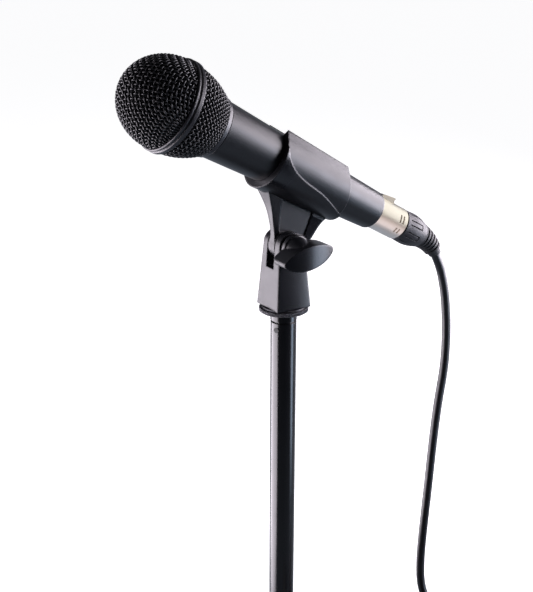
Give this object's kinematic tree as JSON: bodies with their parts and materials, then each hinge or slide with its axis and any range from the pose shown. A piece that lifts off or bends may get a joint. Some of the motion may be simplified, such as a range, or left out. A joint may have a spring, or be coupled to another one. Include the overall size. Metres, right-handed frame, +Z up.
{
  "type": "dynamic microphone",
  "caption": "Handheld dynamic vocal microphone with ball grille, held in a tilting clip with a wing knob on a round-base table stand, with its XLR lead.",
  "frame": {"origin": "centre of the stand's underside, on the surface it stands on", "axes": "+Z up along the stand's tube; the microphone's axis lies in the XZ plane with its head towards -X; the wing knob is on the -Y side"},
  "size_m": [0.238, 0.1727, 0.3934],
  "materials": {
    "cast_black": "fine black powder coat over cast iron",
    "rubber": "matt black rubber",
    "zinc_steel": "bright zinc-plated steel",
    "black_tube": "satin black enamel on steel tube",
    "black_metal": "black plated, knurled steel",
    "black_nylon": "satin moulded black nylon",
    "brass": "machined brass",
    "nylon_washer": "natural nylon",
    "grille_wire": "black painted woven steel wire",
    "grille_metal": "satin black painted steel",
    "foam": "open-cell black foam",
    "aluminium": "spun aluminium",
    "clear_film": "thin translucent polyester film",
    "copper": "enamelled copper wire",
    "magnet": "nickel-plated magnet",
    "handle_paint": "satin black enamel on die-cast metal",
    "insert_plastic": "black moulded plastic",
    "gold_pin": "gold-plated brass",
    "nickel": "satin nickel plate on die-cast zinc",
    "boot_plastic": "satin black moulded plastic",
    "cable_jacket": "matt black flexible PVC jacket",
    "tie_fabric": "black hook-and-loop strap"
  },
  "bodies": {
    "stand": {"base_plate": "cast_black", "base_foot_pad": "rubber", "base_bolt": "zinc_steel", "base_washer": "zinc_steel", "tube_plug": "zinc_steel", "stand_tube": "black_tube", "stud_pin": "zinc_steel", "thread_stud": "black_tube", "cable_drop": "cable_jacket", "cable_coil": "cable_jacket", "coil_tie": "tie_fabric", "cable_tail": "cable_jacket", "end_cable": "cable_jacket", "end_bushing": "rubber", "end_boot": "boot_plastic", "end_shell": "nickel", "end_insert": "insert_plastic", "end_pins": "gold_pin"},
    "lock_ring_body": {"lock_ring": "black_metal"},
    "holder": {"holder_post": "black_nylon", "thread_adapter": "brass", "hinge_bolt": "zinc_steel"},
    "knob": {"wing_knob": "black_nylon", "knob_insert": "brass"},
    "clip": {"clip_cradle": "black_nylon", "friction_washers": "nylon_washer"},
    "microphone": {"handle": "handle_paint", "capsule_cap": "aluminium", "diaphragm": "clear_film", "voice_coil": "copper", "pole_piece": "zinc_steel", "magnet": "magnet", "magnet_cup": "zinc_steel", "capsule_shell": "black_nylon", "shock_mount": "rubber", "capsule_leads": "copper", "socket_insert": "insert_plastic", "socket_pins": "gold_pin", "socket_screw": "zinc_steel"},
    "grille": {"grille_front": "grille_wire", "grille_band": "grille_metal", "grille_rear": "grille_wire", "grille_collar": "grille_metal", "foam_liner": "foam"},
    "plug": {"plug_shell": "nickel", "plug_insert": "insert_plastic", "plug_contacts": "gold_pin", "plug_chuck": "nylon_washer", "plug_boot": "boot_plastic", "plug_bushing": "rubber", "cable_end": "cable_jacket"},
    "latch": {"plug_latch": "nickel"}
  },
  "joints": [
    {"name": "holder_swivel", "type": "hinge", "parent": "stand", "child": "holder", "pos_m": [0, 0, 0.25], "axis": [0, 0, 1], "range_deg": [-60, 60], "deforming": ["cable_drop"]},
    {"name": "lock_ring_turn", "type": "hinge", "parent": "stand", "child": "lock_ring_body", "pos_m": [0, 0, 0.248], "axis": [0, 0, 1], "continuous": true},
    {"name": "clip_tilt", "type": "hinge", "parent": "holder", "child": "clip", "pos_m": [0, 0, 0.285], "axis": [0, 1, 0], "range_deg": [-40, 45], "deforming": ["cable_drop"]},
    {"name": "knob_turn", "type": "hinge", "parent": "holder", "child": "knob", "pos_m": [0, 0, 0.285], "axis": [0, 1, 0], "range_deg": [-90, 360]},
    {"name": "mic_slide_out", "type": "slide", "parent": "clip", "child": "microphone", "axis": [-0.8759, 0, 0.4825], "range_m": [0, 0.04], "deforming": ["cable_drop"]},
    {"name": "grille_unscrew", "type": "hinge", "parent": "microphone", "child": "grille", "pos_m": [-0.04436, 0, 0.35413], "axis": [0.8759, 0, -0.4825], "range_deg": [0, 360]},
    {"name": "plug_pull", "type": "slide", "parent": "microphone", "child": "plug", "axis": [0.8759, 0, -0.4825], "range_m": [0, 0.02], "deforming": ["cable_drop"]},
    {"name": "latch_press", "type": "slide", "parent": "plug", "child": "latch", "axis": [-0.4825, 0, -0.8759], "range_m": [0, 0.0012], "stiffness_N_per_m": 400}
  ]
}
